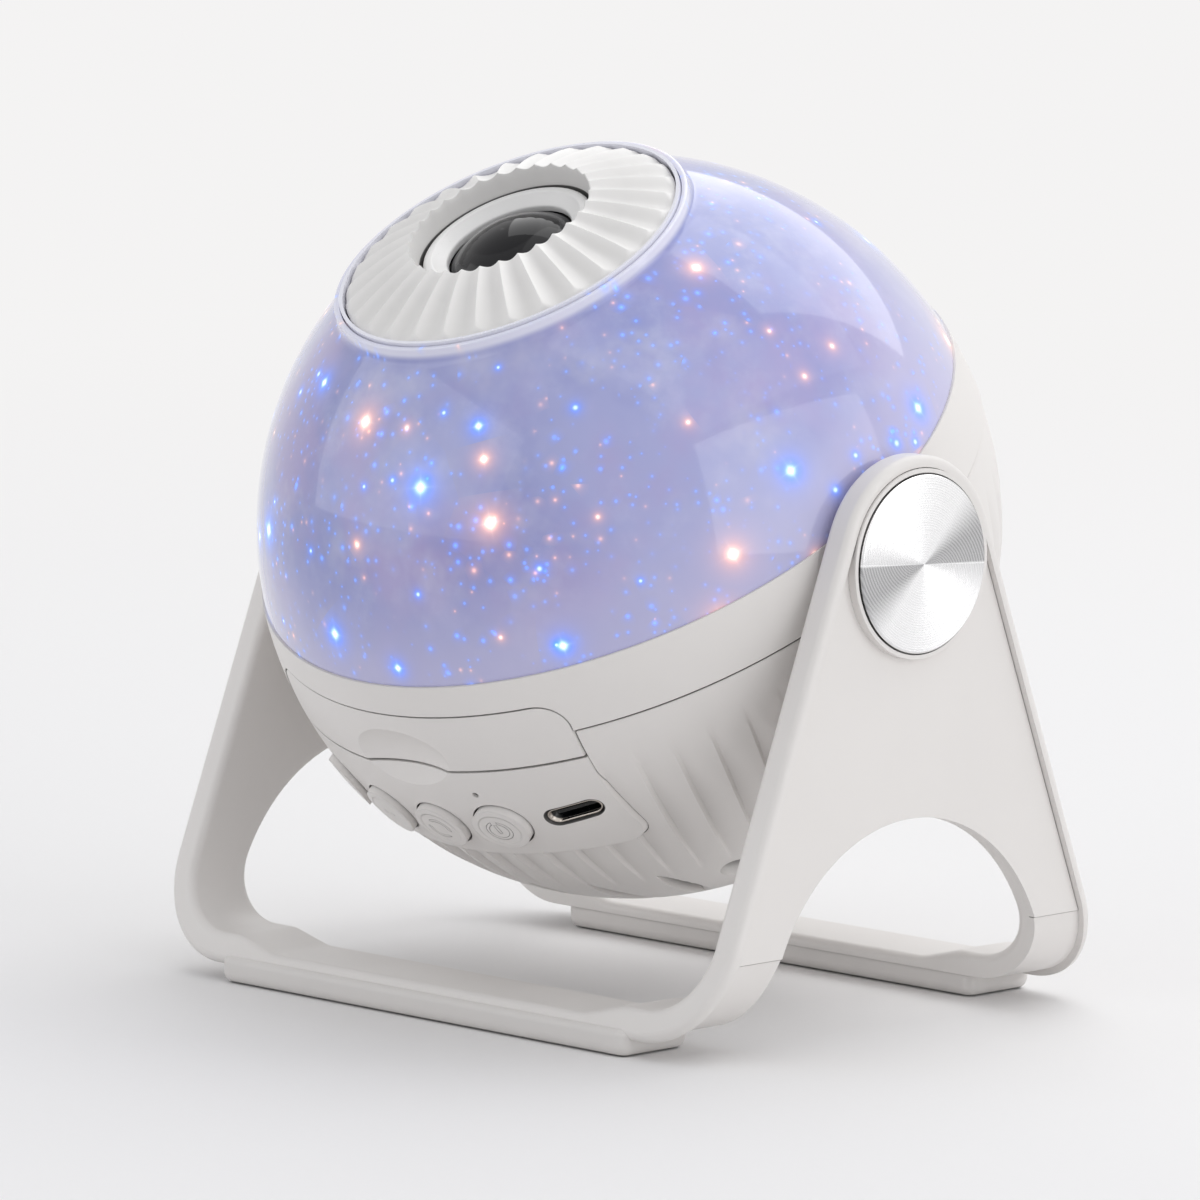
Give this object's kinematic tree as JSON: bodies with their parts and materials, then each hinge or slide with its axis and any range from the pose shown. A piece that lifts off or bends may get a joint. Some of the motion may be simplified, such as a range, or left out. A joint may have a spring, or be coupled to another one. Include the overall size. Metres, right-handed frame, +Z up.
{
  "type": "planetarium projector",
  "caption": "Tilting globe-shaped star projector with a fluted focus ring, disc drawer, push buttons and a charging socket, held between the sides of an A-shaped stand.",
  "frame": {"origin": "centre of the base, on the surface the stand rests on, midway between the sides and the feet", "axes": "+Z up, +X along the tilt hinge towards the object's right side as seen from the front, -Y towards the front where the buttons are"},
  "size_m": [0.1304, 0.12, 0.1371],
  "materials": {
    "shell_white": "warm off-white satin plastic",
    "cover_white": "warm off-white satin plastic",
    "dome_violet": "glossy printed night-sky plastic",
    "liner_white": "matt diffusing plastic",
    "spun_metal": "fine concentric turning",
    "fixing_steel": "zinc plated",
    "washer_dark": "dark fibre",
    "pad_grey": "pale grey grip rubber",
    "lens_glass": "coated glass",
    "retainer_grey": "satin grey",
    "disc_black": "matt black",
    "film_blue": "printed film",
    "chassis_grey": "moulded, matt",
    "tunnel_black": "matt black",
    "board_green": "solder mask",
    "board_white": "white solder mask",
    "emitter_amber": "phosphor",
    "sink_metal": "extruded",
    "switch_black": "moulded",
    "socket_metal": "drawn shell",
    "light_clear": "clear light pipe"
  },
  "bodies": {
    "stand": {"stand_frame": "shell_white", "left_side_cover": "cover_white", "right_side_cover": "cover_white", "left_cap_disc": "spun_metal", "right_cap_disc": "spun_metal", "left_friction_washer": "washer_dark", "right_friction_washer": "washer_dark", "front_foot_pad": "pad_grey", "rear_foot_pad": "pad_grey"},
    "globe": {"left_pivot_screw": "fixing_steel", "right_pivot_screw": "fixing_steel", "left_trunnion": "fixing_steel", "right_trunnion": "fixing_steel", "belt_ring": "shell_white", "dome_cover": "dome_violet", "star_liner": "liner_white", "lower_bowl": "shell_white", "bowl_screws": "fixing_steel", "lens_collar": "chassis_grey", "trim_ring": "shell_white", "control_panel": "shell_white", "control_board": "board_green", "board_screws": "fixing_steel", "tact_switches": "switch_black", "usb_socket": "socket_metal", "status_light_pipe": "light_clear", "chassis": "chassis_grey", "light_tunnel": "tunnel_black", "condenser_lens": "lens_glass", "led_board": "board_white", "led_emitter": "emitter_amber", "heat_sink": "sink_metal", "halo_board": "board_white", "halo_leds": "emitter_amber"},
    "focus": {"focus_ring": "shell_white"},
    "lens_unit": {"lens_barrel": "shell_white", "front_lens": "lens_glass", "lens_retainer": "retainer_grey", "rear_lens": "lens_glass", "rear_lens_ring": "retainer_grey"},
    "drawer": {"disc_drawer": "shell_white", "film_disc": "disc_black", "star_film": "film_blue"},
    "mode_key": {"mode_button": "shell_white"},
    "timer_key": {"timer_button": "shell_white"},
    "light_key": {"light_button": "shell_white"},
    "power_key": {"power_button": "shell_white"}
  },
  "joints": [
    {"name": "globe_tilt", "type": "hinge", "parent": "stand", "child": "globe", "pos_m": [0, 0, 0.075], "axis": [1, 0, 0], "continuous": true},
    {"name": "focus_turn", "type": "hinge", "parent": "globe", "child": "focus", "pos_m": [0, 0, 0.075], "axis": [0, -0.5, 0.866], "range_deg": [-75, 75]},
    {"name": "lens_slide", "type": "slide", "parent": "globe", "child": "lens_unit", "axis": [0, -0.5, 0.866], "range_m": [-0.0015, 0.0015]},
    {"name": "drawer_slide", "type": "slide", "parent": "globe", "child": "drawer", "axis": [0, -0.866, -0.5], "range_m": [0, 0.065]},
    {"name": "mode_press", "type": "slide", "parent": "globe", "child": "mode_key", "axis": [0, 0.6807, 0.7325], "range_m": [0, 0.0008], "stiffness_N_per_m": 1500},
    {"name": "timer_press", "type": "slide", "parent": "globe", "child": "timer_key", "axis": [0, 0.6807, 0.7325], "range_m": [0, 0.0008], "stiffness_N_per_m": 1500},
    {"name": "light_press", "type": "slide", "parent": "globe", "child": "light_key", "axis": [0, 0.6807, 0.7325], "range_m": [0, 0.0008], "stiffness_N_per_m": 1500},
    {"name": "power_press", "type": "slide", "parent": "globe", "child": "power_key", "axis": [0, 0.6807, 0.7325], "range_m": [0, 0.0008], "stiffness_N_per_m": 1500}
  ],
  "couplings": [
    {"joint": "lens_slide", "follows": "focus_turn", "m_per_rad": 0.001145}
  ]
}
